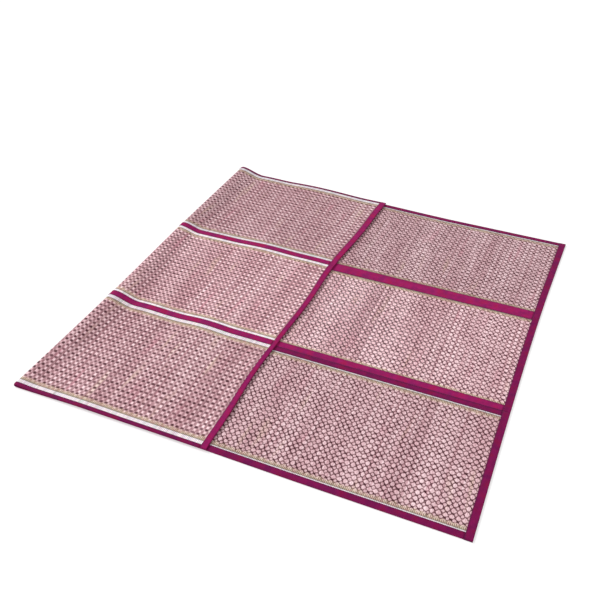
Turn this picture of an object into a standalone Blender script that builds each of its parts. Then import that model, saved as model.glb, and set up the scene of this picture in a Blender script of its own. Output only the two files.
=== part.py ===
"""Woven grass floor mat of three long strips, bound and joined with cotton tape.

It lies on the floor folded over once, so a flap of about half its length rests on the rest
with its reverse side up. Units are metres, +Z is up, +X runs along the strips from the fold
to the open end, and +Y runs across them from the front edge to the back edge. The origin is
the middle of the laid mat, on the floor.
"""
import math

import bmesh
import bpy
from mathutils import Vector

# Cloth and tape
STRIP_THICK = 0.0030
TAPE_THICK = 0.0010
GAP = 0.0003
HALF_STRIP = STRIP_THICK / 2
TAPE_NEAR = HALF_STRIP + GAP
TAPE_FAR = TAPE_NEAR + TAPE_THICK
TAPE_WRAP = TAPE_THICK + GAP

# Widths of the tape's legs: the face side shows on the lower layer, the reverse on the flap
EDGE_FACE_LEG = 0.021
EDGE_REVERSE_LEG = 0.012
OPEN_END_LEG = 0.0237
JOINT_FACE_HALF = 0.0245
JOINT_REVERSE_HALF = 0.0128
SEAM_NEAR_WIDTH = 0.0210
SEAM_FAR_WIDTH = 0.0280
SEAM_REVERSE_OFFSET = 0.002

# The mat along four lines, front to back: where the line runs across the mat, where the
# lower layer ends, the fold's outermost point and outer height, how far the flap takes to
# come down, where the flap ends, the width of its end tape's legs, and how far the open end,
# the fold and the flap lie out of line across the mat
LINES = {
    "front": {"y": 0.0000, "right": 1.431, "nose": -0.025, "height": 0.014, "fall": 0.060,
              "flap": 0.657, "flap_leg": 0.0200, "right_drift": -0.0025,
              "fold_drift": -0.005, "flap_drift": -0.004},
    "joint_front": {"y": 0.4945, "right": 1.421, "nose": -0.008, "height": 0.036, "fall": 0.098,
                    "flap": 0.6475, "flap_leg": 0.0160, "right_drift": 0.000,
                    "fold_drift": 0.003, "flap_drift": 0.004},
    "joint_back": {"y": 1.0010, "right": 1.4165, "nose": -0.018, "height": 0.030, "fall": 0.080,
                   "flap": 0.652, "flap_leg": 0.0215, "right_drift": -0.001,
                   "fold_drift": 0.005, "flap_drift": 0.007},
    "back": {"y": 1.5180, "right": 1.4235, "nose": -0.008, "height": 0.041, "fall": 0.100,
             "flap": 0.680, "flap_leg": 0.0245, "right_drift": -0.012,
             "fold_drift": 0.000, "flap_drift": -0.001},
}
LINE_ORDER = ["front", "joint_front", "joint_back", "back"]
FRONT, JOINT_FRONT, JOINT_BACK, BACK = [LINES[name]["y"] for name in LINE_ORDER]

# Where the flap's end stands out, or back where negative: centre, half width and how far
FLAP_BOWS = [
    {"y": 0.34, "across": 0.22, "out": -0.0060},
    {"y": 0.75, "across": 0.22, "out": 0.0075},
    {"y": 1.24, "across": 0.21, "out": 0.0060},
]

# Soft swellings: centre, half length along the strips, half width across them, and height
FLAP_SWELLS = [
    {"x": 0.38, "y": 0.47, "along": 0.11, "across": 0.42, "lift": 0.0055},
    {"x": 0.37, "y": 1.02, "along": 0.15, "across": 0.38, "lift": 0.0050},
    {"x": 0.36, "y": 1.50, "along": 0.24, "across": 0.36, "lift": 0.0080},
    {"x": 0.13, "y": 1.50, "along": 0.13, "across": 0.34, "lift": 0.0060},
    {"x": 0.15, "y": 0.47, "along": 0.10, "across": 0.30, "lift": 0.0030},
    {"x": 0.54, "y": 0.85, "along": 0.12, "across": 0.45, "lift": 0.0022},
    {"x": 0.24, "y": 0.10, "along": 0.14, "across": 0.30, "lift": 0.0016},
]
LOWER_SWELLS = [
    {"x": 0.93, "y": 0.27, "along": 0.19, "across": 0.21, "lift": 0.0016},
    {"x": 1.19, "y": 0.22, "along": 0.17, "across": 0.18, "lift": 0.0022},
    {"x": 1.02, "y": 0.74, "along": 0.24, "across": 0.19, "lift": 0.0020},
    {"x": 0.90, "y": 1.25, "along": 0.16, "across": 0.19, "lift": 0.0014},
    {"x": 1.22, "y": 1.28, "along": 0.16, "across": 0.18, "lift": 0.0022},
]

# How the layers lie: the middle of each sheet at its bound edges, and how far it sinks
# between them, until the lower one lies on the floor
LOWER_Z = TAPE_FAR
FLAP_Z = 3 * TAPE_FAR + GAP
LOWER_SINK = TAPE_WRAP
FLAP_SINK = 0.0030
SINK_RAMP = 0.040
FOLD_MARGIN = 0.060
END_MARGIN = 0.065
RIGHT_DRIFT_START = 0.55
RIGHT_DRIFT_LENGTH = 0.45
FOLD_DRIFT_LENGTH = 0.25
SLOPE_STEP = 0.001

# How finely the path along the mat is divided
LOWER_STEPS = 7
FOLD_STEPS = 10
FALL_STEPS = 5
FLAP_STEPS = 13
INNER_LINES = 3

# The strips between the lines, and the part of each that no tape covers on its face
STRIP_GAP = 0.0005
STRIPS = {
    "strip_front": {"low": FRONT + TAPE_WRAP, "high": JOINT_FRONT - STRIP_GAP,
                    "open_low": EDGE_FACE_LEG, "open_high": JOINT_FRONT - SEAM_NEAR_WIDTH},
    "strip_middle": {"low": JOINT_FRONT + STRIP_GAP, "high": JOINT_BACK - STRIP_GAP,
                     "open_low": JOINT_FRONT + SEAM_FAR_WIDTH,
                     "open_high": JOINT_BACK - JOINT_FACE_HALF},
    "strip_back": {"low": JOINT_BACK + STRIP_GAP, "high": BACK - TAPE_WRAP,
                   "open_low": JOINT_BACK + JOINT_FACE_HALF, "open_high": BACK - EDGE_FACE_LEG},
}

LOW_X = LINES["front"]["nose"]
HIGH_X = LINES["front"]["right"]
LOW_Y = FRONT + LINES["front"]["fold_drift"]
CENTRE = Vector(((LOW_X + HIGH_X) / 2, (LOW_Y + BACK) / 2, 0))


def mix(a, b, t):
    return a + (b - a) * t


def ramp(t):
    t = min(max(t, 0.0), 1.0)
    return t * t * (3 - 2 * t)


def across(column, y):
    """One column of LINES at any place across the mat, as a smooth curve through its lines."""
    ys = [LINES[name]["y"] for name in LINE_ORDER]
    values = [LINES[name][column] for name in LINE_ORDER]
    last = len(ys) - 1
    i = max(k for k in range(last) if k == 0 or ys[k] <= y)

    def slope(k):
        a, b = max(k - 1, 0), min(k + 1, last)
        return (values[b] - values[a]) / (ys[b] - ys[a])

    span = ys[i + 1] - ys[i]
    t = min(max((y - ys[i]) / span, 0.0), 1.0)
    eased = ramp(t)
    return (mix(values[i], values[i + 1], eased)
            + span * t * (1 - t) * (slope(i) * (1 - t) - slope(i + 1) * t))


def swell(swells, x, y):
    total = 0.0
    for row in swells:
        a = min(abs(x - row["x"]) / row["along"], 1.0)
        b = min(abs(y - row["y"]) / row["across"], 1.0)
        total += row["lift"] * (1 - a * a) ** 2 * (1 - b * b) ** 2
    return total


def sink_across(y):
    """0 under the tapes, 1 in the open middle of a strip."""
    for strip in STRIPS.values():
        if strip["open_low"] < y < strip["open_high"]:
            near = ramp((y - strip["open_low"]) / SINK_RAMP)
            return near * ramp((strip["open_high"] - y) / SINK_RAMP)
    return 0.0


def flap_end(y):
    end = across("flap", y)
    for row in FLAP_BOWS:
        b = min(abs(y - row["y"]) / row["across"], 1.0)
        end += row["out"] * (1 - b * b) ** 2
    return end


def fold_centre(y):
    return across("nose", y) + across("height", y) / 2


def fold_radius(y):
    """Radius of the middle of the cloth where it turns over."""
    return across("height", y) / 2 - TAPE_FAR


def lower_height(x, y):
    open_end = ramp((across("right", y) - OPEN_END_LEG - x) / SINK_RAMP)
    fold_end = ramp((x - fold_centre(y)) / FOLD_MARGIN)
    sink = LOWER_SINK * open_end * fold_end * sink_across(y)
    return LOWER_Z - sink + swell(LOWER_SWELLS, x, y)


def flap_height(x, y):
    start = fold_centre(y)
    fall = across("fall", y)
    top = LOWER_Z + 2 * fold_radius(y)
    down = ramp((x - start) / fall)
    free_end = ramp((flap_end(y) - across("flap_leg", y) - x) / SINK_RAMP)
    sink = FLAP_SINK * ramp((x - start - fall / 2) / fall) * free_end * sink_across(y)
    return mix(top, FLAP_Z, down) - sink + swell(FLAP_SWELLS, x, y) * down


def lower_drift(x, y):
    right = across("right_drift", y) * ramp((x - RIGHT_DRIFT_START) / RIGHT_DRIFT_LENGTH)
    return right + across("fold_drift", y) * ramp(1 - (x - fold_centre(y)) / FOLD_DRIFT_LENGTH)


def flap_drift(x, y):
    along = ramp((x - fold_centre(y)) / FOLD_DRIFT_LENGTH)
    return mix(across("fold_drift", y), across("flap_drift", y), along)


def surface(stop, y):
    """Middle of the cloth at one stop along the mat, and its normal on the reverse side."""
    zone, value = stop
    start, right, end = fold_centre(y), across("right", y), flap_end(y)
    if zone == "fold":
        angle, radius = math.pi * value, fold_radius(y)
        normal = Vector((-math.sin(angle), 0, -math.cos(angle)))
        pivot = Vector((start, y + across("fold_drift", y), LOWER_Z + radius))
        return pivot + normal * radius - CENTRE, normal
    if zone in ("right", "lower"):
        x = right - value
        if zone == "lower":
            x = mix(right - END_MARGIN, start + FOLD_MARGIN, value)
        middle = Vector((x, y + lower_drift(x, y), lower_height(x, y)))
        return middle - CENTRE, Vector((0, 0, -1))
    fall = across("fall", y)
    x = {"fall": start + fall * value,
         "flap": mix(start + fall, end - END_MARGIN, value),
         "end": end - value,
         "end_leg": end - across("flap_leg", y) - value}[zone]
    z = flap_height(x, y)
    slope = (flap_height(x + SLOPE_STEP, y) - z) / SLOPE_STEP
    middle = Vector((x, y + flap_drift(x, y), z))
    return middle - CENTRE, Vector((-slope, 0, 1)).normalized()


def path(first, last):
    """Stops along the mat from its open end, round the fold, to the flap's end."""
    stops = list(first)
    stops += [("lower", i / LOWER_STEPS) for i in range(LOWER_STEPS + 1)]
    stops += [("fold", i / FOLD_STEPS) for i in range(FOLD_STEPS + 1)]
    stops += [("fall", (i + 1) / FALL_STEPS) for i in range(FALL_STEPS)]
    stops += [("flap", (i + 1) / FLAP_STEPS) for i in range(FLAP_STEPS)]
    return stops + list(last)


STRIP_PATH = path([("right", TAPE_WRAP), ("right", OPEN_END_LEG)],
                  [("end_leg", 0.0), ("end", TAPE_WRAP)])
LONG_TAPE_PATH = path([("right", OPEN_END_LEG + GAP)], [("end_leg", GAP)])


def place(stop, y, offset):
    """A point off the middle of the cloth, towards its reverse side."""
    middle, normal = surface(stop, y)
    return middle + normal * offset


def strip_lines(strip):
    """Where a strip is divided across, densest where it comes out from under its tapes."""
    low, high = strip["open_low"], strip["open_high"]
    inner = [low + SINK_RAMP, high - SINK_RAMP]
    middle = [mix(*inner, (i + 1) / (INNER_LINES + 1)) for i in range(INNER_LINES)]
    return [strip["low"], low, inner[0], *middle, inner[1], high, strip["high"]]


def material(name, color, roughness):
    shader = bpy.data.materials.new(name)
    shader.use_nodes = True
    principled = shader.node_tree.nodes["Principled BSDF"]
    principled.inputs["Base Color"].default_value = (*color, 1)
    principled.inputs["Roughness"].default_value = roughness
    principled.inputs["Metallic"].default_value = 0
    shader.diffuse_color = (*color, 1)
    return shader


def sweep(name, sections, color, roughness):
    """A closed solid through sections, each a row of point pairs through the cloth."""
    mesh = bmesh.new()
    rows = [[[mesh.verts.new(point) for point in pair] for pair in section] for section in sections]
    for a, b in zip(rows, rows[1:]):
        for i in range(len(a) - 1):
            mesh.faces.new((a[i][0], a[i + 1][0], b[i + 1][0], b[i][0]))
            mesh.faces.new((a[i + 1][1], a[i][1], b[i][1], b[i + 1][1]))
        mesh.faces.new((a[0][0], b[0][0], b[0][1], a[0][1]))
        mesh.faces.new((b[-1][0], a[-1][0], a[-1][1], b[-1][1]))
    for row in (rows[0], rows[-1]):
        for near, far in zip(row, row[1:]):
            mesh.faces.new((near[0], near[1], far[1], far[0]))
    bmesh.ops.recalc_face_normals(mesh, faces=mesh.faces)
    data = bpy.data.meshes.new(name)
    mesh.to_mesh(data)
    mesh.free()
    data.materials.append(material(name, color, roughness))
    piece = bpy.data.objects.new(name, data)
    bpy.context.scene.collection.objects.link(piece)
    return piece


GRASS_PINK = (0.50, 0.30, 0.34)
TAPE_MAGENTA = (0.26, 0.015, 0.10)
GRASS_ROUGHNESS = 0.6
TAPE_ROUGHNESS = 0.85


def woven_strip(name, strip):
    """One length of grass cloth, from open end to flap end in a single folded section."""
    lines = strip_lines(strip)
    sections = [[(place(stop, y, HALF_STRIP), place(stop, y, -HALF_STRIP)) for y in lines]
                for stop in STRIP_PATH]
    sweep(name, sections, GRASS_PINK, GRASS_ROUGHNESS)


def flat_tape(name, low, high, side):
    """A tape sewn along a joint, on the reverse side for side 1 and the face for -1."""
    sections = [[(place(stop, y, side * TAPE_FAR), place(stop, y, side * TAPE_NEAR))
                 for y in (low, high)]
                for stop in LONG_TAPE_PATH]
    sweep(name, sections, TAPE_MAGENTA, TAPE_ROUGHNESS)


def edge_tape(name, edge, inward):
    """A tape folded round a long edge, its wider leg on the face."""
    wrapped = edge + inward * TAPE_THICK
    reverse_leg = edge + inward * EDGE_REVERSE_LEG
    face_leg = edge + inward * EDGE_FACE_LEG
    sections = [[(place(stop, reverse_leg, TAPE_FAR), place(stop, reverse_leg, TAPE_NEAR)),
                 (place(stop, edge, TAPE_FAR), place(stop, wrapped, TAPE_NEAR)),
                 (place(stop, edge, -TAPE_FAR), place(stop, wrapped, -TAPE_NEAR)),
                 (place(stop, face_leg, -TAPE_FAR), place(stop, face_leg, -TAPE_NEAR))]
                for stop in LONG_TAPE_PATH]
    sweep(name, sections, TAPE_MAGENTA, TAPE_ROUGHNESS)


def end_tape(name, zone, legs, low, high):
    """A tape folded round the ends of the strips, with legs of one width on both sides."""
    lines = [y for strip in STRIPS.values() for y in strip_lines(strip)]
    lines = [low] + [y for y in sorted(lines) if low + TAPE_THICK < y < high - TAPE_THICK] + [high]
    edge, inside = (zone, 0.0), (zone, TAPE_THICK)
    sections = [[(place(legs, y, TAPE_FAR), place(legs, y, TAPE_NEAR)),
                 (place(edge, y, TAPE_FAR), place(inside, y, TAPE_NEAR)),
                 (place(edge, y, -TAPE_FAR), place(inside, y, -TAPE_NEAR)),
                 (place(legs, y, -TAPE_FAR), place(legs, y, -TAPE_NEAR))]
                for y in lines]
    sweep(name, sections, TAPE_MAGENTA, TAPE_ROUGHNESS)


for old in list(bpy.data.objects):
    bpy.data.objects.remove(old, do_unlink=True)

for strip_name, strip_row in STRIPS.items():
    woven_strip(strip_name, strip_row)

edge_tape("edge_tape_front", FRONT, 1)
edge_tape("edge_tape_back", BACK, -1)

REVERSE_SEAM = JOINT_FRONT + SEAM_REVERSE_OFFSET
flat_tape("joint_tape_back_face", JOINT_BACK - JOINT_FACE_HALF, JOINT_BACK + JOINT_FACE_HALF, -1)
flat_tape("joint_tape_back_reverse", JOINT_BACK - JOINT_REVERSE_HALF,
          JOINT_BACK + JOINT_REVERSE_HALF, 1)
flat_tape("joint_tape_front_near", JOINT_FRONT - SEAM_NEAR_WIDTH, JOINT_FRONT - GAP / 2, -1)
flat_tape("joint_tape_front_far", JOINT_FRONT + GAP / 2, JOINT_FRONT + SEAM_FAR_WIDTH, -1)
flat_tape("joint_tape_front_reverse", REVERSE_SEAM - JOINT_REVERSE_HALF,
          REVERSE_SEAM + JOINT_REVERSE_HALF, 1)

OPEN_LEGS = ("right", OPEN_END_LEG)
end_tape("end_tape_right_front", "right", OPEN_LEGS, FRONT, JOINT_FRONT - GAP / 2)
end_tape("end_tape_right_back", "right", OPEN_LEGS, JOINT_FRONT + GAP / 2, BACK)
end_tape("end_tape_flap", "end", ("end_leg", 0.0), FRONT, BACK)
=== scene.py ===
"""Looks of a woven grass floor mat that lies folded over once, in metres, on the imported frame."""
import math

import bmesh
import bpy
import numpy as np
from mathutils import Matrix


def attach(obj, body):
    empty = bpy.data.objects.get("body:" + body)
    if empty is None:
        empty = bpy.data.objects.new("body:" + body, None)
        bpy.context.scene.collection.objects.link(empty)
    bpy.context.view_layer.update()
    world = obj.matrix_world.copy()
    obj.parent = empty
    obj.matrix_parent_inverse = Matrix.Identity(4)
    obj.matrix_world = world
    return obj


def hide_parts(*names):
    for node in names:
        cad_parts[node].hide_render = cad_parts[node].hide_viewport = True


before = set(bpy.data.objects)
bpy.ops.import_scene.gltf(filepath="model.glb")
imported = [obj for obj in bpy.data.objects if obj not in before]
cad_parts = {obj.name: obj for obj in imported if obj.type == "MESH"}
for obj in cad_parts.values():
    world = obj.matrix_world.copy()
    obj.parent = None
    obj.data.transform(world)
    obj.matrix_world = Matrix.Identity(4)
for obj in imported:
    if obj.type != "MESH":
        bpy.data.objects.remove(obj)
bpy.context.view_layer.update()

# Woven strips: three lengths of grass cloth, side by side. Dyed stems run across each strip
# and cotton threads along it, woven into rows of small knots between two plain selvedges.
# They are folded over together, so the face shows on the lower layer, the reverse on the flap.
STRIP_THICK = 0.0030
TAPE_THICK = 0.0010
GAP = 0.0003
HALF_STRIP = STRIP_THICK / 2
TAPE_NEAR = HALF_STRIP + GAP
TAPE_FAR = TAPE_NEAR + TAPE_THICK
TAPE_WRAP = TAPE_THICK + GAP
OPEN_END_LEG = 0.0237

# The mat along four lines, front to back: where the line runs across the mat, where the
# lower layer ends, the fold's outermost point and outer height, how far the flap takes to
# come down, where the flap ends, the width of its end tape's legs, and how far the open end,
# the fold and the flap lie out of line across the mat
LINES = {
    "front": {"y": 0.0000, "right": 1.431, "nose": -0.025, "height": 0.014, "fall": 0.060,
              "flap": 0.657, "flap_leg": 0.0200, "right_drift": -0.0025,
              "fold_drift": -0.005, "flap_drift": -0.004},
    "joint_front": {"y": 0.4945, "right": 1.421, "nose": -0.008, "height": 0.036, "fall": 0.098,
                    "flap": 0.6475, "flap_leg": 0.0160, "right_drift": 0.000,
                    "fold_drift": 0.003, "flap_drift": 0.004},
    "joint_back": {"y": 1.0010, "right": 1.4165, "nose": -0.018, "height": 0.030, "fall": 0.080,
                   "flap": 0.652, "flap_leg": 0.0215, "right_drift": -0.001,
                   "fold_drift": 0.005, "flap_drift": 0.007},
    "back": {"y": 1.5180, "right": 1.4235, "nose": -0.008, "height": 0.041, "fall": 0.100,
             "flap": 0.680, "flap_leg": 0.0245, "right_drift": -0.012,
             "fold_drift": 0.000, "flap_drift": -0.001},
}
LINE_Y = np.array([line["y"] for line in LINES.values()])
FRONT, JOINT_FRONT, JOINT_BACK, BACK = LINE_Y

# Where the flap's end stands out, or back where negative: centre, half width and how far
FLAP_BOWS = [
    {"y": 0.34, "across": 0.22, "out": -0.0060},
    {"y": 0.75, "across": 0.22, "out": 0.0075},
    {"y": 1.24, "across": 0.21, "out": 0.0060},
]

# Soft swellings: centre, half length along the strips, half width across them, and height
FLAP_SWELLS = [
    {"x": 0.38, "y": 0.47, "along": 0.11, "across": 0.42, "lift": 0.0055},
    {"x": 0.37, "y": 1.02, "along": 0.15, "across": 0.38, "lift": 0.0050},
    {"x": 0.36, "y": 1.50, "along": 0.24, "across": 0.36, "lift": 0.0080},
    {"x": 0.13, "y": 1.50, "along": 0.13, "across": 0.34, "lift": 0.0060},
    {"x": 0.15, "y": 0.47, "along": 0.10, "across": 0.30, "lift": 0.0030},
    {"x": 0.54, "y": 0.85, "along": 0.12, "across": 0.45, "lift": 0.0022},
    {"x": 0.24, "y": 0.10, "along": 0.14, "across": 0.30, "lift": 0.0016},
]
LOWER_SWELLS = [
    {"x": 0.93, "y": 0.27, "along": 0.19, "across": 0.21, "lift": 0.0016},
    {"x": 1.19, "y": 0.22, "along": 0.17, "across": 0.18, "lift": 0.0022},
    {"x": 1.02, "y": 0.74, "along": 0.24, "across": 0.19, "lift": 0.0020},
    {"x": 0.90, "y": 1.25, "along": 0.16, "across": 0.19, "lift": 0.0014},
    {"x": 1.22, "y": 1.28, "along": 0.16, "across": 0.18, "lift": 0.0022},
]

# How the layers lie: the middle of each sheet at its bound edges, how far it sinks between
# them, and over what lengths it sinks, folds and goes out of line
LOWER_Z = TAPE_FAR
FLAP_Z = 3 * TAPE_FAR + GAP
LOWER_SINK = TAPE_WRAP
FLAP_SINK = 0.0030
SINK_RAMP = 0.040
FOLD_MARGIN = 0.060
RIGHT_DRIFT_START = 0.55
RIGHT_DRIFT_LENGTH = 0.45
FOLD_DRIFT_LENGTH = 0.25
SLOPE_STEP = 0.001

# The strips between the lines, the part of each that no tape covers on its face, the pitch of
# its knots along the mat, and how light its lot of dyed grass came out
STRIP_GAP = 0.0005
EDGE_FACE_LEG = 0.021
JOINT_FACE_HALF = 0.0245
SEAM_NEAR_WIDTH = 0.0210
SEAM_FAR_WIDTH = 0.0280
STRIPS = {
    "strip_front": {"low": FRONT + TAPE_WRAP, "high": JOINT_FRONT - STRIP_GAP,
                    "open_low": EDGE_FACE_LEG, "open_high": JOINT_FRONT - SEAM_NEAR_WIDTH,
                    "pitch": 0.0176, "lot": 1.00},
    "strip_middle": {"low": JOINT_FRONT + STRIP_GAP, "high": JOINT_BACK - STRIP_GAP,
                     "open_low": JOINT_FRONT + SEAM_FAR_WIDTH,
                     "open_high": JOINT_BACK - JOINT_FACE_HALF, "pitch": 0.0175, "lot": 1.09},
    "strip_back": {"low": JOINT_BACK + STRIP_GAP, "high": BACK - TAPE_WRAP,
                   "open_low": JOINT_BACK + JOINT_FACE_HALF, "open_high": BACK - EDGE_FACE_LEG,
                   "pitch": 0.0187, "lot": 0.92},
}
CENTRE = np.array([(LINES["front"]["nose"] + LINES["front"]["right"]) / 2,
                   (FRONT + LINES["front"]["fold_drift"] + BACK) / 2, 0])


def mix(a, b, t):
    return a + (b - a) * t


def ramp(t):
    t = np.clip(t, 0, 1)
    return t * t * (3 - 2 * t)


def across(column, y):
    """One column of LINES at any place across the mat, as a smooth curve through its lines."""
    values = np.array([line[column] for line in LINES.values()])
    before, after = [0, 0, 1, 2], [1, 2, 3, 3]
    slopes = (values[after] - values[before]) / (LINE_Y[after] - LINE_Y[before])
    i = np.clip(np.searchsorted(LINE_Y, y, side="right") - 1, 0, len(values) - 2)
    span = LINE_Y[i + 1] - LINE_Y[i]
    t = np.clip((y - LINE_Y[i]) / span, 0, 1)
    return (mix(values[i], values[i + 1], ramp(t))
            + span * t * (1 - t) * (slopes[i] * (1 - t) - slopes[i + 1] * t))


def swell(swells, x, y):
    total = 0
    for row in swells:
        a = np.minimum(abs(x - row["x"]) / row["along"], 1)
        b = np.minimum(abs(y - row["y"]) / row["across"], 1)
        total = total + row["lift"] * (1 - a * a) ** 2 * (1 - b * b) ** 2
    return total


def sink_across(y):
    """0 under the tapes, 1 in the open middle of a strip."""
    return sum(ramp((y - strip["open_low"]) / SINK_RAMP) * ramp((strip["open_high"] - y) / SINK_RAMP)
               for strip in STRIPS.values())


def flap_end(y):
    end = across("flap", y)
    for row in FLAP_BOWS:
        b = np.minimum(abs(y - row["y"]) / row["across"], 1)
        end = end + row["out"] * (1 - b * b) ** 2
    return end


def fold_centre(y):
    return across("nose", y) + across("height", y) / 2


def fold_radius(y):
    return across("height", y) / 2 - TAPE_FAR


def lower_height(x, y):
    open_end = ramp((across("right", y) - OPEN_END_LEG - x) / SINK_RAMP)
    fold_end = ramp((x - fold_centre(y)) / FOLD_MARGIN)
    return (LOWER_Z - LOWER_SINK * open_end * fold_end * sink_across(y)
            + swell(LOWER_SWELLS, x, y))


def flap_height(x, y):
    start, fall = fold_centre(y), across("fall", y)
    down = ramp((x - start) / fall)
    free_end = ramp((flap_end(y) - across("flap_leg", y) - x) / SINK_RAMP)
    sink = FLAP_SINK * ramp((x - start - fall / 2) / fall) * free_end * sink_across(y)
    return mix(LOWER_Z + 2 * fold_radius(y), FLAP_Z, down) - sink + swell(FLAP_SWELLS, x, y) * down


def lie(t, y):
    """Middle of the cloth and its normal on the reverse: t runs from 0 at the open end to 1 at
    the fold, to 2 round it, and to 3 at the flap's end."""
    start, radius = fold_centre(y), fold_radius(y)
    lower_x = mix(across("right", y), start, np.clip(t, 0, 1))
    flap_x = mix(start, flap_end(y), np.clip(t - 2, 0, 1))
    angle = math.pi * np.clip(t - 1, 0, 1)
    flap_z = flap_height(flap_x, y)
    slope = (flap_height(flap_x + SLOPE_STEP, y) - flap_z) / SLOPE_STEP
    steep = np.sqrt(1 + slope * slope)
    right_drift = (across("right_drift", y)
                   * ramp((lower_x - RIGHT_DRIFT_START) / RIGHT_DRIFT_LENGTH))
    fold_drift = across("fold_drift", y)
    lower_drift = right_drift + fold_drift * ramp(1 - (lower_x - start) / FOLD_DRIFT_LENGTH)
    flap_drift = mix(fold_drift, across("flap_drift", y), ramp((flap_x - start) / FOLD_DRIFT_LENGTH))
    zone = [t < 1, t <= 2]
    middle = [np.select(zone, [lower_x, start - radius * np.sin(angle)], flap_x),
              y + np.select(zone, [lower_drift, fold_drift], flap_drift),
              np.select(zone, [lower_height(lower_x, y),
                               LOWER_Z + radius * (1 - np.cos(angle))], flap_z)]
    normal = [np.select(zone, [0, -np.sin(angle)], -slope / steep), 0 * y,
              np.select(zone, [-1, -np.cos(angle)], 1 / steep)]
    return (np.stack(np.broadcast_arrays(*middle), -1), np.stack(np.broadcast_arrays(*normal), -1))


# Flat length of the cloth, and the steps in which its run through the fold is measured
LENGTH = 2.125
PATH_STEPS = np.linspace(0, 3, 1201)


def lay(along, y, offset):
    """Where points of the flat cloth lie in the fold: their distance from the open end, their
    place across, and how far they are off its middle on the reverse side."""
    lines, line_of = np.unique(np.round(y, 5), return_inverse=True)
    t = np.empty(len(along))
    path = lie(PATH_STEPS[None, :], lines[:, None])[0]
    runs = np.cumsum(np.hypot(np.diff(path[..., 0]), np.diff(path[..., 2])), axis=1)
    for i, run in enumerate(runs):
        here = line_of == i
        t[here] = np.interp(along[here] / LENGTH * run[-1], np.append(0, run), PATH_STEPS)
    middle, normal = lie(t, y)
    return middle + normal * np.reshape(offset, (-1, 1)) - CENTRE


def cut_flat(rows, columns):
    """A closed flat piece with vertices at those places along and across it. Also gives each
    vertex's place, and its side: 0.5 on the reverse and -0.5 on the face."""
    cloth = bmesh.new()
    last_row, last_column = len(rows) - 1, len(columns) - 1
    bmesh.ops.create_grid(cloth, x_segments=last_row, y_segments=last_column, size=0.5)
    bmesh.ops.solidify(cloth, geom=cloth.faces[:], thickness=1)
    for face in cloth.faces:
        face.material_index = int(face.normal.z < -0.5)
        face.smooth = True
    flat = np.array([vertex.co for vertex in cloth.verts])
    along = rows[np.rint((flat[:, 0] + 0.5) * last_row).astype(int)]
    over = columns[np.rint((flat[:, 1] + 0.5) * last_column).astype(int)]
    return cloth, along, over, flat[:, 2] + 0.5


def fit_piece(name, node, cloth, points, finishes):
    """Lays a flat piece where it goes on the mat, in place of its solid."""
    for vertex, point in zip(cloth.verts, points):
        vertex.co = point
    bmesh.ops.recalc_face_normals(cloth, faces=cloth.faces[:])
    mesh = bpy.data.meshes.new(name)
    cloth.to_mesh(mesh)
    cloth.free()
    for finish in finishes:
        mesh.materials.append(finish)
    piece = bpy.data.objects.new(name, mesh)
    bpy.context.scene.collection.objects.link(piece)
    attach(piece, "root")
    if node:
        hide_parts(node)
    return piece


def note_place(piece, name, *values):
    """Keeps three numbers at each vertex, for the piece's material."""
    table = piece.data.attributes.new(name, "FLOAT_VECTOR", "POINT")
    table.data.foreach_set("vector", np.stack(values, -1).astype(np.float32).ravel())


def dye(red, green, blue):
    """A colour given as it looks on screen, 0 to 255, as the shader wants it."""
    return (*[(value / 255) ** 2.2 for value in (red, green, blue)], 1)


def feed(tree, socket, value):
    if isinstance(value, bpy.types.NodeSocket):
        tree.links.new(value, socket)
    else:
        socket.default_value = value


def calc(tree, operation, *values):
    node = tree.nodes.new("ShaderNodeMath")
    node.operation = operation
    for socket, value in zip(node.inputs, values):
        feed(tree, socket, value)
    return node.outputs[0]


def rise(tree, value, low, high, bottom=0.0, top=1.0):
    """A smooth step from bottom to top as value goes from low to high."""
    node = tree.nodes.new("ShaderNodeMapRange")
    node.interpolation_type = "SMOOTHSTEP"
    for socket, setting in zip(node.inputs, (value, low, high, bottom, top)):
        feed(tree, socket, setting)
    return node.outputs[0]


def tint(tree, share, base, over):
    node = tree.nodes.new("ShaderNodeMix")
    node.data_type = "RGBA"
    for socket, value in ((node.inputs[0], share), (node.inputs[6], base), (node.inputs[7], over)):
        feed(tree, socket, value)
    return node.outputs[2]


def cloud(tree, place, stretch, detail=2.0):
    """Soft noise of 0 to 1 at a place times stretch."""
    scaled = tree.nodes.new("ShaderNodeVectorMath")
    scaled.operation = "MULTIPLY"
    tree.links.new(place, scaled.inputs[0])
    scaled.inputs[1].default_value = stretch
    node = tree.nodes.new("ShaderNodeTexNoise")
    node.inputs["Scale"].default_value = 1.0
    node.inputs["Detail"].default_value = detail
    tree.links.new(scaled.outputs[0], node.inputs["Vector"])
    return node.outputs[0]


def start_finish(name, attribute, roughness, sheen):
    """A new material, and the numbers kept at each place of the piece."""
    finish = bpy.data.materials.new(name)
    finish.use_nodes = True
    tree = finish.node_tree
    shader = tree.nodes["Principled BSDF"]
    shader.inputs["Roughness"].default_value = roughness
    shader.inputs["Specular IOR Level"].default_value = 0.15
    shader.inputs["Sheen Weight"].default_value = sheen
    note = tree.nodes.new("ShaderNodeAttribute")
    note.attribute_name = attribute
    parts = tree.nodes.new("ShaderNodeSeparateXYZ")
    tree.links.new(note.outputs["Vector"], parts.inputs[0])
    return finish, tree, shader, note.outputs["Vector"], parts.outputs[:]


def raise_bump(tree, shader, height, distance):
    bump = tree.nodes.new("ShaderNodeBump")
    bump.inputs["Strength"].default_value = 1.0
    bump.inputs["Distance"].default_value = distance
    tree.links.new(height, bump.inputs["Height"])
    tree.links.new(bump.outputs[0], shader.inputs["Normal"])


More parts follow.
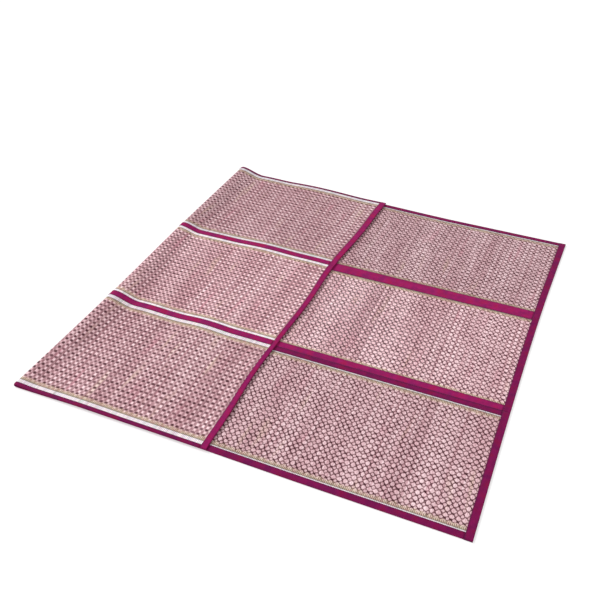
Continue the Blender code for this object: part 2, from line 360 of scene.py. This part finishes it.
def change(tree, operation, colour, by):
    """A colour multiplied or scaled."""
    node = tree.nodes.new("ShaderNodeVectorMath")
    node.operation = operation
    tree.links.new(colour, node.inputs[0])
    tree.links.new(by, node.inputs["Scale" if operation == "SCALE" else 1])
    return node.outputs[0]


def draw_lots(tree, *cells):
    """An even chance from 0 to 1 for each whole numbered cell."""
    cell = tree.nodes.new("ShaderNodeCombineXYZ")
    for socket, value in zip(cell.inputs, cells):
        feed(tree, socket, calc(tree, "ROUND", value))
    chance = tree.nodes.new("ShaderNodeTexWhiteNoise")
    tree.links.new(cell.outputs[0], chance.inputs["Vector"])
    return chance.outputs["Value"]


# Pitch of the knots across the mat, how far in from a strip's edge its plain selvedge, the line
# beside it and its ribbed border go, stems to a knot, how high the finish raises, and the dyes
KNOT_PITCH = 0.021
SELVEDGE = 0.0240
SELVEDGE_LINE = 0.0268
BORDER_END = 0.0385
STEMS_PER_KNOT = 3.6
WEAVE_BUMP = 0.0006
TURN = 2 * math.pi
PALE, PALE_DULL, PALE_CREAM = dye(255, 226, 230), dye(234, 194, 200), dye(246, 227, 200)
MID, MID_DULL, MID_CREAM = dye(194, 153, 158), dye(166, 122, 129), dye(196, 172, 144)
DARK, DARK_CREAM = dye(66, 30, 38), dye(100, 72, 54)
CREAM_TINGE, PINK_TINGE = dye(224, 198, 174), dye(216, 132, 152)
STREAK_LIGHT, STREAK_DARK = (1.07, 1.08, 1.08, 1), (0.86, 0.76, 0.78, 1)
REVERSE_LIGHTER = 1.08
SELVEDGE_WHITE, SELVEDGE_SHADE = dye(243, 234, 240), dye(176, 160, 176)
SELVEDGE_GREEN = dye(206, 220, 208)
BORDER_CREAM, BORDER_PINK, BORDER_GAP = dye(255, 232, 216), dye(218, 192, 186), dye(112, 74, 76)
BORDER_GREEN, BORDER_BROWN, LINE_GREEN = dye(176, 172, 128), dye(206, 160, 138), dye(132, 128, 120)


def grass_finish(name, reverse, lot):
    """Dyed grass: pale knots with dark lines between them, tall on the face; on the reverse
    pale stars with dark pits between them and a bright thread slanting past."""
    finish, tree, shader, place, (along, over, edge) = start_finish(name, "weave", 0.6, 0.0)
    smudge = cloud(tree, place, (2.3, 0.7, 0.0))
    a = calc(tree, "MULTIPLY_ADD", smudge, 0.22, along)
    b = calc(tree, "MULTIPLY_ADD", cloud(tree, place, (2.9, 1.9, 4.0)), 0.22, over)
    turn_a = calc(tree, "COSINE", calc(tree, "MULTIPLY", a, TURN))
    turn_b = calc(tree, "COSINE", calc(tree, "MULTIPLY", b, TURN))
    rising = calc(tree, "COSINE", calc(tree, "MULTIPLY", calc(tree, "ADD", a, b), TURN))
    falling = calc(tree, "COSINE", calc(tree, "MULTIPLY", calc(tree, "SUBTRACT", a, b), TURN))
    both = calc(tree, "ADD", turn_a, turn_b)
    luck = draw_lots(tree, calc(tree, "MULTIPLY", a, 2.0), calc(tree, "MULTIPLY", b, 2.0))

    # Long uneven streaks of dye, columns, single stems and their fibres
    streak = cloud(tree, place, (0.17, 0.022, 0.0))
    column = cloud(tree, place, (1.6, 0.009, 0.0), 3.0)
    stem = cloud(tree, place, (4.2, 0.12, 0.0))
    fibre = cloud(tree, place, (26.0, 1.5, 0.0), 3.0)

    # How far each place is in a pale knot, and in a dark gap between knots
    uneven = calc(tree, "MULTIPLY_ADD", luck, 0.8, -0.4)
    rough = calc(tree, "SUBTRACT", cloud(tree, place, (5.5, 1.8, 0.0)), 0.5)
    wide = calc(tree, "MULTIPLY", turn_b, calc(tree, "MULTIPLY_ADD", turn_a, 0.42, 0.58))
    wide = calc(tree, "MULTIPLY_ADD", uneven, 0.2, wide)
    if reverse:
        arms = calc(tree, "MULTIPLY", calc(tree, "MAXIMUM", rising, falling), 0.7)
        arms = calc(tree, "MULTIPLY_ADD", uneven, 0.4, arms)
        arms = calc(tree, "MULTIPLY_ADD", rough, 0.7, arms)
        knot = rise(tree, calc(tree, "MULTIPLY_ADD", both, 0.5, arms), 0.55, 1.35)
        small = rise(tree, calc(tree, "MULTIPLY_ADD", both, -0.5, arms), 0.95, 1.6, 0.0, 0.6)
        knot = calc(tree, "MAXIMUM", knot, small)
        thread = rise(tree, calc(tree, "MULTIPLY_ADD", stem, 0.6, rising), 1.22, 1.36)
        thread = calc(tree, "MULTIPLY", thread, rise(tree, turn_b, 0.7, -0.4, 0.15, 0.75))
        wide = calc(tree, "MULTIPLY_ADD", rough, 0.8, wide)
        dark = rise(tree, wide, 0.16, -1.0, 0.0, 0.95)
        pits = calc(tree, "MULTIPLY", calc(tree, "MULTIPLY", turn_a, turn_b), -1.0)
        dark = calc(tree, "MAXIMUM", dark, rise(tree, pits, 0.3, 1.0, 0.0, 0.4))
        dark = calc(tree, "MULTIPLY", dark, rise(tree, thread, 0.6, 0.0, 0.15, 1.0))
        pale_share = calc(tree, "MAXIMUM", knot, thread)
    else:
        uneven_both = calc(tree, "MULTIPLY_ADD", uneven, 0.6, both)
        uneven_both = calc(tree, "MULTIPLY_ADD", rough, 1.2, uneven_both)
        knot = rise(tree, uneven_both, 0.05, 0.85)
        ring = calc(tree, "ABSOLUTE", calc(tree, "ADD", uneven_both, 0.42))
        dark = rise(tree, ring, 0.72, 0.12)
        dark = calc(tree, "MULTIPLY", dark, rise(tree, falling, 0.6, -0.8, 0.72, 1.0))
        dark = calc(tree, "MAXIMUM", dark, rise(tree, wide, -0.45, -0.95))
        small = rise(tree, uneven_both, -1.0, -1.45, 0.0, 0.75)
        dark = calc(tree, "MULTIPLY", dark, calc(tree, "SUBTRACT", 1.0, small))
        knot = calc(tree, "MAXIMUM", knot, small)
        parting = rise(tree, calc(tree, "ABSOLUTE", turn_a), 0.90, 0.995, 1.0, 0.62)
        pale_share = calc(tree, "MULTIPLY", knot, parting)
    flecks = rise(tree, cloud(tree, place, (6.0, 3.5, 0.0), 1.0), 0.3, 0.6, 0.72, 1.0)
    pale_share = calc(tree, "MULTIPLY", pale_share, flecks)
    dark = calc(tree, "MULTIPLY", dark, rise(tree, luck, 1.0, 0.0, 0.82, 1.0))
    stems = calc(tree, "MULTIPLY", along, STEMS_PER_KNOT)
    ribs = calc(tree, "COSINE", calc(tree, "MULTIPLY", stems, TURN))
    stem_luck = draw_lots(tree, stems)
    gap = calc(tree, "MULTIPLY", rise(tree, stem_luck, 0.90, 0.99), rise(tree, ribs, -0.2, -0.9))
    gap = calc(tree, "MULTIPLY", gap, 0.6)

    # Colours of the weave, creamier towards the border
    ragged = calc(tree, "MULTIPLY_ADD", cloud(tree, place, (1.4, 1.0, 0.0)), -0.022, edge)
    cream = rise(tree, ragged, BORDER_END - 0.006, BORDER_END - 0.018)
    tone = calc(tree, "MULTIPLY_ADD", streak, 0.5, calc(tree, "MULTIPLY", stem, 0.8))
    tone = calc(tree, "MULTIPLY_ADD", luck, 0.2, tone)
    shade = rise(tree, tone, 0.50, 1.02)
    pale = tint(tree, cream, tint(tree, shade, PALE_DULL, PALE), PALE_CREAM)
    middle = tint(tree, cream, tint(tree, shade, MID_DULL, MID), MID_CREAM)
    deepest = tint(tree, cream, DARK, DARK_CREAM)
    colour = tint(tree, pale_share, middle, pale)
    tinge = cloud(tree, place, (0.55, 0.09, 0.0))
    colour = tint(tree, rise(tree, tinge, 0.60, 0.76, 0.0, 0.4), colour, CREAM_TINGE)
    colour = tint(tree, rise(tree, tinge, 0.40, 0.24, 0.0, 0.3), colour, PINK_TINGE)
    colour = tint(tree, calc(tree, "MAXIMUM", dark, gap), colour, deepest)

    # Ribbed border, with green and brown tufts beside its line
    rib_shade = rise(tree, calc(tree, "MULTIPLY_ADD", stem_luck, 0.9, ribs), 0.9, -0.5)
    border = tint(tree, rise(tree, stem_luck, 0.3, 0.8), BORDER_CREAM, BORDER_PINK)
    tufts = tint(tree, rise(tree, cloud(tree, place, (0.9, 0.1, 7.0), 1.0), 0.40, 0.52),
                 BORDER_BROWN, BORDER_GREEN)
    near_line = rise(tree, edge, SELVEDGE_LINE + 0.008, SELVEDGE_LINE, 0.1, 0.85)
    border = tint(tree, near_line, border, tufts)
    border = tint(tree, rib_shade, border, BORDER_GAP)
    in_border = calc(tree, "MULTIPLY_ADD", knot, -0.0045, ragged)
    in_border = rise(tree, in_border, BORDER_END - 0.012, BORDER_END - 0.021, 0.0, 0.9)
    colour = tint(tree, in_border, colour, border)

    # Plain selvedge and its line
    plain = rise(tree, edge, SELVEDGE + 0.0006, SELVEDGE - 0.0006)
    selvedge = tint(tree, rise(tree, stem_luck, 0.3, 1.0, 0.0, 0.4), SELVEDGE_WHITE, BORDER_CREAM)
    selvedge = tint(tree, rise(tree, tinge, 0.52, 0.66, 0.0, 0.7), selvedge, SELVEDGE_GREEN)
    selvedge = tint(tree, calc(tree, "MULTIPLY", rib_shade, 0.75), selvedge, SELVEDGE_SHADE)
    line = calc(tree, "MULTIPLY", rise(tree, edge, SELVEDGE - 0.0004, SELVEDGE + 0.0008),
                rise(tree, edge, SELVEDGE_LINE + 0.0008, SELVEDGE_LINE - 0.0006))
    colour = tint(tree, calc(tree, "MULTIPLY", line, 0.85), colour, LINE_GREEN)
    colour = tint(tree, plain, colour, selvedge)

    # Streaks over all of it
    deep = calc(tree, "MULTIPLY_ADD", column, 1.3, calc(tree, "MULTIPLY", streak, 0.5))
    deep = calc(tree, "MULTIPLY_ADD", plain, 0.12, deep)
    dyed = tint(tree, rise(tree, deep, 0.70, 1.10), STREAK_DARK, STREAK_LIGHT)
    if reverse:
        lot = lot * REVERSE_LIGHTER
    worn = calc(tree, "MULTIPLY_ADD", fibre, 0.5 * lot, 0.74 * lot)
    colour = change(tree, "SCALE", change(tree, "MULTIPLY", colour, dyed), worn)
    tree.links.new(colour, shader.inputs["Base Color"])

    # Relief of knots, stems and fibres
    height = calc(tree, "MULTIPLY_ADD", dark, -0.8, calc(tree, "MULTIPLY", knot, 0.6))
    height = calc(tree, "MULTIPLY", height, calc(tree, "SUBTRACT", 1.0, plain))
    height = calc(tree, "MULTIPLY_ADD", ribs, 0.14, height)
    height = calc(tree, "MULTIPLY_ADD", fibre, 0.35, height)
    raise_bump(tree, shader, height, WEAVE_BUMP)
    return finish


# How finely the cloth is divided for a pitch of the weave where it shows and where it is
# under the flap, how deep the weave is and how it rises from the selvedge, how far rows and
# columns of knots wander, and how far apart the strips' knots are numbered
ROWS_SHOWN = 5
ROWS_HIDDEN = 2
COLUMNS = 4
HIDDEN_FROM = 0.80
HIDDEN_TO = 1.37
FACE_DEPTH = 0.0008
REVERSE_DEPTH = 0.0004
FACE_PROFILE = ([-2, -1.2, -0.5, 0.2, 1.0, 2.0], [0.45, 0.60, 0.95, 0.70, 0.15, 0.0])
WEAVE_RISE = 0.005
COLUMN_SHIFT = 0.035
COLUMN_WAVES = (41.0, 97.0, 151.0, 233.0)
ROW_SHIFT = 0.05
ROW_WAVE = 9
KNOTS_APART = 300


def uneven_columns(along, seed):
    """How far the columns of knots lie off an even pitch, because no two stems are alike."""
    return sum(np.sin(along * wave + seed * (i + 2)) / (i + 2) ** 0.5
               for i, wave in enumerate(COLUMN_WAVES))


for seed, (strip_name, strip) in enumerate(STRIPS.items()):
    shown, hidden = strip["pitch"] / ROWS_SHOWN, strip["pitch"] / ROWS_HIDDEN
    rows = np.concatenate([np.arange(TAPE_WRAP, HIDDEN_FROM, shown),
                           np.arange(HIDDEN_FROM, HIDDEN_TO, hidden),
                           np.arange(HIDDEN_TO, LENGTH - TAPE_WRAP - shown / 2, shown),
                           [LENGTH - TAPE_WRAP]])
    width = strip["high"] - strip["low"]
    columns = np.linspace(strip["low"], strip["high"], int(width / KNOT_PITCH * COLUMNS) + 1)
    cloth, along, y, side = cut_flat(rows, columns)
    edge = np.minimum(y - strip["low"], strip["high"] - y)
    shift = COLUMN_SHIFT * uneven_columns(along, seed)
    a = along / strip["pitch"] + shift
    b = ((y - (strip["low"] + strip["high"]) / 2) / KNOT_PITCH
         + ROW_SHIFT * np.sin(along * ROW_WAVE + seed))
    turn_a, turn_b = np.cos(TURN * a), np.cos(TURN * b)
    finishes = [grass_finish(strip_name + "_reverse", True, strip["lot"]),
                grass_finish(strip_name + "_face", False, strip["lot"])]
    face_drop = np.interp(turn_a + turn_b, *FACE_PROFILE)
    reverse_drop = ramp(0.5 - 0.5 * turn_a * turn_b)
    woven = ramp((edge - SELVEDGE) / WEAVE_RISE)
    drop = np.where(side > 0, REVERSE_DEPTH * reverse_drop, FACE_DEPTH * face_drop) * woven
    offset = 2 * side * (HALF_STRIP - drop)
    piece = fit_piece("grass_" + strip_name, strip_name, cloth, lay(along, y, offset),
                      finishes)
    note_place(piece, "weave", a + seed * KNOTS_APART, b, edge)
    strip["piece"] = piece
    strip["flat"] = (width, LENGTH - 2 * TAPE_WRAP)

# Long tapes: magenta cotton tape, sewn down along both joints on each side of the cloth and
# folded round the mat's two long edges. Its ends are tucked in under the end tapes.
EDGE_REVERSE_LEG = 0.012
JOINT_REVERSE_HALF = 0.0128
SEAM_REVERSE_OFFSET = 0.002
TAPE_MIDDLE = (TAPE_NEAR + TAPE_FAR) / 2
TAPE_ROUND = 0.0005
EDGE_PLACES = TAPE_ROUND * np.array([0, 0.2, 0.55, 1])
EDGE_SHARE = 0.35
TURN_RADIUS = 0.0012
TURN_CORNER = TAPE_THICK / 2 + TURN_RADIUS
TURN_ARC = math.pi / 2 * TURN_RADIUS
TAPE_STEP = 0.006
ACROSS_STEP = 0.004
ACROSS_START = 0.003
TUCK = 0.0004
THREAD_PITCH = 0.0011
TAPE_BUMP = 0.0005
# The second tape colour is the first made darker and more purple, as painted shade.
TAPE_MAGENTA, TAPE_SHADED_PLUM = dye(147, 20, 88), dye(119, 8, 74)
REDDER, MORE_PURPLE = (1.28, 1.0, 0.74), (0.72, 1.0, 1.06)
# The last of these darkens the tape along its rounded edges, as painted shade.
LIGHTER, DARKER, SHADE_AT_EDGES = (1.22, 1.3, 1.25), (0.52, 0.5, 0.52), (0.42, 0.8, 0.84)


def tape_finish(name, dyed):
    """Closely woven cotton: soft lighter and darker patches, a fine lengthwise grain, and
    painted shade along its rounded edges and in the puckers beside its seams."""
    finish, tree, shader, place, (along, over, edge) = start_finish(name, "tape", 0.8, 0.02)
    patch = cloud(tree, place, (22.0, 60.0, 0.0), 3.0)
    grain = cloud(tree, place, (60.0, 1500.0, 0.0), 3.0)
    pucker = cloud(tree, place, (260.0, 40.0, 0.0))
    blotch = cloud(tree, place, (34.0, 24.0, 0.0))
    lighter, redder, purple, darker, edge_shade_colour = [
        (*[part * share for part, share in zip(dyed, shares)], 1)
        for shares in (LIGHTER, REDDER, MORE_PURPLE, DARKER, SHADE_AT_EDGES)]
    colour = tint(tree, rise(tree, patch, 0.35, 0.65), dyed, lighter)
    colour = tint(tree, rise(tree, blotch, 0.50, 0.68, 0.0, 0.8), colour, redder)
    colour = tint(tree, rise(tree, blotch, 0.50, 0.32, 0.0, 0.7), colour, purple)
    colour = tint(tree, rise(tree, grain, 0.52, 0.30, 0.0, 0.45), colour, darker)
    # Painted shade along both edges, where the tape rounds over, a little more purple.
    edge_shade_share = rise(tree, edge, 0.0040, 0.0008, 0.0, 0.7)
    colour = tint(tree, edge_shade_share, colour, edge_shade_colour)
    # Painted shade in the puckers beside the seams; the puckers also sink the relief.
    sewn = calc(tree, "MULTIPLY", rise(tree, edge, 0.007, 0.002), rise(tree, pucker, 0.55, 0.35))
    colour = tint(tree, calc(tree, "MULTIPLY", sewn, 0.6), colour, darker)
    tree.links.new(colour, shader.inputs["Base Color"])
    warp = calc(tree, "SINE", calc(tree, "MULTIPLY", over, TURN / THREAD_PITCH))
    weft = calc(tree, "SINE", calc(tree, "MULTIPLY", along, TURN / THREAD_PITCH))
    height = calc(tree, "MULTIPLY_ADD", calc(tree, "MULTIPLY", warp, weft), 0.12, grain)
    height = calc(tree, "MULTIPLY_ADD", sewn, -0.9, height)
    raise_bump(tree, shader, height, TAPE_BUMP)
    return finish


# Two copies of the tape: the plain bright one, and a darker one that paints shade.
BRIGHT_TAPE = tape_finish("cotton_tape_bright", TAPE_MAGENTA)
SHADED_TAPE = tape_finish("cotton_tape_shaded", TAPE_SHADED_PLUM)


def tape_rows(low, high):
    return np.linspace(low, high, int((high - low) / TAPE_STEP) + 1)


def tape_columns(width):
    """Places across a tape, closest at its rounded edges."""
    inner = np.linspace(ACROSS_START, width - ACROSS_START, max(int(width / ACROSS_STEP), 2))
    return np.concatenate([EDGE_PLACES, inner, width - EDGE_PLACES[::-1]])


def rounded(edge):
    """Share of its thickness that a tape has so near its edge."""
    inside = 1 - np.clip(edge / TAPE_ROUND, 0, 1)
    return EDGE_SHARE + (1 - EDGE_SHARE) * np.sqrt(1 - inside * inside)


def long_rows(y):
    """Places along a long tape, from under one end tape to under the other."""
    return tape_rows(OPEN_END_LEG - TUCK, LENGTH - across("flap_leg", y) + TUCK)


FLAT_TAPES = {
    "joint_tape_back_face": {"low": JOINT_BACK - JOINT_FACE_HALF,
                             "high": JOINT_BACK + JOINT_FACE_HALF, "side": -1,
                             "finish": BRIGHT_TAPE},
    "joint_tape_back_reverse": {"low": JOINT_BACK - JOINT_REVERSE_HALF,
                                "high": JOINT_BACK + JOINT_REVERSE_HALF, "side": 1,
                                "finish": BRIGHT_TAPE},
    # The near half of the front joint has the darker copy, as painted shade.
    "joint_tape_front_near": {"low": JOINT_FRONT - SEAM_NEAR_WIDTH,
                              "high": JOINT_FRONT - GAP / 2, "side": -1,
                              "finish": SHADED_TAPE},
    "joint_tape_front_far": {"low": JOINT_FRONT + GAP / 2,
                             "high": JOINT_FRONT + SEAM_FAR_WIDTH, "side": -1,
                             "finish": BRIGHT_TAPE},
    "joint_tape_front_reverse": {
        "low": JOINT_FRONT + SEAM_REVERSE_OFFSET - JOINT_REVERSE_HALF,
        "high": JOINT_FRONT + SEAM_REVERSE_OFFSET + JOINT_REVERSE_HALF, "side": 1,
        "finish": BRIGHT_TAPE},
}
for tape_name, tape in FLAT_TAPES.items():
    width = tape["high"] - tape["low"]
    cloth, along, over, skin = cut_flat(long_rows((tape["low"] + tape["high"]) / 2),
                                        tape_columns(width))
    edge = np.minimum(over, width - over)
    offset = tape["side"] * TAPE_MIDDLE + skin * TAPE_THICK * rounded(edge)
    piece = fit_piece("cotton_" + tape_name, tape_name, cloth,
                      lay(along, tape["low"] + over, offset), [tape["finish"]])
    note_place(piece, "tape", along, over, edge)


def wrap(over, skin, reverse_leg, face_leg):
    """The section of a tape folded round an edge: how far in from the outside of the fold
    each place across it is, and how far off the middle of the cloth."""
    side = TAPE_MIDDLE - TURN_RADIUS
    stops = np.cumsum([0, reverse_leg - TURN_CORNER, TURN_ARC, 2 * side, TURN_ARC,
                       face_leg - TURN_CORNER])
    angle = np.interp(over, stops, np.pi * np.array([0, 0, 0.5, 0.5, 1, 1]))
    reach = TURN_RADIUS + skin * TAPE_THICK
    inset = np.interp(over, stops, [reverse_leg] + [TURN_CORNER] * 4 + [face_leg])
    level = np.interp(over, stops, [side, side, side, -side, -side, -side])
    return inset - reach * np.sin(angle), level + reach * np.cos(angle)


def wrap_columns(reverse_leg, face_leg):
    """Places across such a tape, closest at its edges and round its two corners."""
    first = reverse_leg - TURN_CORNER
    second = first + TURN_ARC + 2 * (TAPE_MIDDLE - TURN_RADIUS)
    width = second + TURN_ARC + face_leg - TURN_CORNER
    legs = [np.linspace(ACROSS_START, first - 0.001, 4),
            np.linspace(second + TURN_ARC + 0.001, width - ACROSS_START, 5)]
    turns = [start + TURN_ARC * np.linspace(0, 1, 4) for start in (first, second)]
    return np.concatenate([EDGE_PLACES, legs[0], *turns, legs[1], width - EDGE_PLACES[::-1]])


# The edge tapes have the darker copy of the tape, as painted shade.
for tape_name, edge_y, inward in (("edge_tape_front", FRONT, 1), ("edge_tape_back", BACK, -1)):
    columns = wrap_columns(EDGE_REVERSE_LEG, EDGE_FACE_LEG)
    cloth, along, over, skin = cut_flat(long_rows(edge_y), columns)
    edge = np.minimum(over, columns[-1] - over)
    inset, offset = wrap(over, skin * rounded(edge), EDGE_REVERSE_LEG, EDGE_FACE_LEG)
    piece = fit_piece("cotton_" + tape_name, tape_name, cloth,
                      lay(along, edge_y + inward * inset, offset), [SHADED_TAPE])
    note_place(piece, "tape", along, over, edge)

# End tapes: the same tape, folded round the ends of the strips and over the ends of the long
# tapes. At the open end it is in two lengths, which meet at the front joint.
# The open end's tapes have the darker copy, as painted shade; the flap's end tape has the bright
# one.
for tape_name, low, high, at_flap in (
        ("end_tape_right_front", FRONT, JOINT_FRONT - GAP / 2, False),
        ("end_tape_right_back", JOINT_FRONT + GAP / 2, BACK, False),
        ("end_tape_flap", FRONT, BACK, True)):
    columns = wrap_columns(OPEN_END_LEG, OPEN_END_LEG)
    cloth, y, over, skin = cut_flat(tape_rows(low, high), columns)
    edge = np.minimum(over, columns[-1] - over)
    inset, offset = wrap(over, skin * rounded(edge), OPEN_END_LEG, OPEN_END_LEG)
    along = inset
    if at_flap:
        stretch = (across("flap_leg", y) - TURN_CORNER) / (OPEN_END_LEG - TURN_CORNER)
        leg = mix(TURN_CORNER, inset, stretch)
        along = LENGTH - np.where(inset > TURN_CORNER, leg, inset)
    piece = fit_piece("cotton_" + tape_name, tape_name, cloth, lay(along, y, offset),
                      [BRIGHT_TAPE if at_flap else SHADED_TAPE])
    note_place(piece, "tape", y, over, edge)

# Turned-in ends: the short lengths of tape that are folded in where an end tape stops at the
# mat's front and back edge. They are cotton like the rest of it, and close its open ends.
TURNED_STEP = 0.0001
TURNED_PLACES = 8
# At the open end the turned-in ends have the darker copy, as painted shade.
for turned_name, at_flap, low in (
        ("open_end_front", False, FRONT + TURNED_STEP),
        ("open_end_back", False, BACK - TURNED_STEP - TAPE_THICK),
        ("flap_front", True, FRONT + TURNED_STEP),
        ("flap_back", True, BACK - TURNED_STEP - TAPE_THICK)):
    leg = across("flap_leg", low) if at_flap else OPEN_END_LEG
    places = np.linspace(TAPE_THICK / 2, leg - TAPE_THICK / 2, TURNED_PLACES)
    cloth, along, y, side = cut_flat(LENGTH - places if at_flap else places,
                                     np.array([low, low + TAPE_THICK]))
    turned = fit_piece("turned_end_" + turned_name, None, cloth,
                       lay(along, y, 2 * side * (TAPE_NEAR + TURNED_STEP)),
                       [BRIGHT_TAPE if at_flap else SHADED_TAPE])
    note_place(turned, "tape", y, along, np.full(len(y), TAPE_THICK))

# Sewing: cotton thread in the tapes' colour holds both edges of each tape down, in a row of
# short machine stitches that goes through the cloth and shows on the tape.
STITCH_PITCH = 0.006
STITCH_INSET = 0.0022
STITCH_HALF = np.array([0.0021, 0.00045, 0.00035])
THREAD_MAGENTA = dye(112, 16, 66)
NUDGE = 0.001


def stitch_run(along, y, side, turned):
    """Middles of the stitches of one row and, for each, its three directions."""
    off = side * TAPE_FAR
    middle = lay(along, y, off)
    ahead = lay(along, y + NUDGE, off) if turned else lay(along + NUDGE, y, off)
    above = lay(along, y, off + side * NUDGE)
    forward = (ahead - middle) / np.linalg.norm(ahead - middle, axis=1, keepdims=True)
    up = (above - middle) / np.linalg.norm(above - middle, axis=1, keepdims=True)
    return middle, np.stack([forward, np.cross(up, forward), up], axis=1)


rows_along = [(tape[edge_name] + step, tape["side"]) for tape in FLAT_TAPES.values()
              for edge_name, step in (("low", STITCH_INSET), ("high", -STITCH_INSET))]
for leg, side in ((EDGE_FACE_LEG, -1), (EDGE_REVERSE_LEG, 1)):
    rows_along += [(FRONT + leg - STITCH_INSET, side), (BACK - leg + STITCH_INSET, side)]
runs = []
for y, side in rows_along:
    along = np.arange(OPEN_END_LEG + NUDGE, LENGTH - across("flap_leg", y) - NUDGE, STITCH_PITCH)
    runs.append(stitch_run(along, np.full(len(along), y), side, False))
y = np.arange(FRONT + STITCH_PITCH, BACK - STITCH_PITCH / 2, STITCH_PITCH)
for side in (-1, 1):
    runs.append(stitch_run(np.full(len(y), OPEN_END_LEG - STITCH_INSET), y, side, True))
    runs.append(stitch_run(LENGTH - across("flap_leg", y) + STITCH_INSET, y, side, True))
middles = np.concatenate([run[0] for run in runs])
turns = np.concatenate([run[1] for run in runs])

stitch = bmesh.new()
bmesh.ops.create_icosphere(stitch, subdivisions=1, radius=1)
corners = np.array([vertex.co for vertex in stitch.verts]) * STITCH_HALF
sides = np.array([[vertex.index for vertex in face.verts] for face in stitch.faces])
stitch.free()
points = middles[:, None] + np.einsum("ck,nkx->ncx", corners, turns)
faces = sides + len(corners) * np.arange(len(middles))[:, None, None]
thread_mesh = bpy.data.meshes.new("stitches")
thread_mesh.from_pydata(points.reshape(-1, 3), [], faces.reshape(-1, 3))
thread_finish = bpy.data.materials.new("cotton_thread")
thread_finish.use_nodes = True
thread_shader = thread_finish.node_tree.nodes["Principled BSDF"]
thread_shader.inputs["Base Color"].default_value = THREAD_MAGENTA
thread_shader.inputs["Roughness"].default_value = 0.55
thread_shader.inputs["Sheen Weight"].default_value = 0.1
thread_mesh.materials.append(thread_finish)
stitches = bpy.data.objects.new("stitches", thread_mesh)
bpy.context.scene.collection.objects.link(stitches)
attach(stitches, "root")

# Floor: a plain studio floor, far wider than the mat. It gives some light of its own, so that
# it comes out white.
FLOOR_HALF = 6.0
FLOOR_GREY = (0.5, 0.5, 0.5, 1)
FLOOR_GLOW = 0.55
WHITE = (1, 1, 1, 1)
floor_mesh = bpy.data.meshes.new("floor")
floor_shape = bmesh.new()
bmesh.ops.create_grid(floor_shape, x_segments=1, y_segments=1, size=FLOOR_HALF)
floor_shape.to_mesh(floor_mesh)
floor_shape.free()
floor_finish = bpy.data.materials.new("pale_floor")
floor_finish.use_nodes = True
floor_shader = floor_finish.node_tree.nodes["Principled BSDF"]
floor_shader.inputs["Base Color"].default_value = FLOOR_GREY
floor_shader.inputs["Roughness"].default_value = 0.8
floor_shader.inputs["Emission Color"].default_value = WHITE
floor_shader.inputs["Emission Strength"].default_value = FLOOR_GLOW
floor_mesh.materials.append(floor_finish)
floor = bpy.data.objects.new("floor", floor_mesh)
bpy.context.scene.collection.objects.link(floor)

# Light: an even white surround, and one broad soft light from the left, where the fold is.
# Colours are shown as they are, without a film look.
SURROUND_STRENGTH = 0.62
SUN_STRENGTH = 2.2
SUN_SPREAD = math.radians(24)
SUN_TURN = (0, math.radians(-52), math.radians(-8))
world = bpy.data.worlds.new("studio")
world.use_nodes = True
world.node_tree.nodes["Background"].inputs["Color"].default_value = WHITE
world.node_tree.nodes["Background"].inputs["Strength"].default_value = SURROUND_STRENGTH
bpy.context.scene.world = world
key_light = bpy.data.lights.new("key_light", "SUN")
key_light.energy = SUN_STRENGTH
key_light.angle = SUN_SPREAD
key_object = bpy.data.objects.new("key_light", key_light)
key_object.rotation_euler = SUN_TURN
bpy.context.scene.collection.objects.link(key_object)
bpy.context.scene.view_settings.view_transform = "Standard"

# Camera: a normal lens, above and beyond the mat's front right corner and turned to the left.
CAMERA_PLACE = (0.84038, -2.11537, 1.74591)
CAMERA_TURN = 0.412511
CAMERA_TILT = 0.645488
SENSOR_WIDTH = 36
LENS = 48.86
camera_data = bpy.data.cameras.new("camera")
camera_data.sensor_width = SENSOR_WIDTH
camera_data.lens = LENS
camera = bpy.data.objects.new("camera", camera_data)
camera.location = CAMERA_PLACE
camera.rotation_euler = (math.pi / 2 - CAMERA_TILT, 0, CAMERA_TURN)
bpy.context.scene.collection.objects.link(camera)
bpy.context.scene.camera = camera
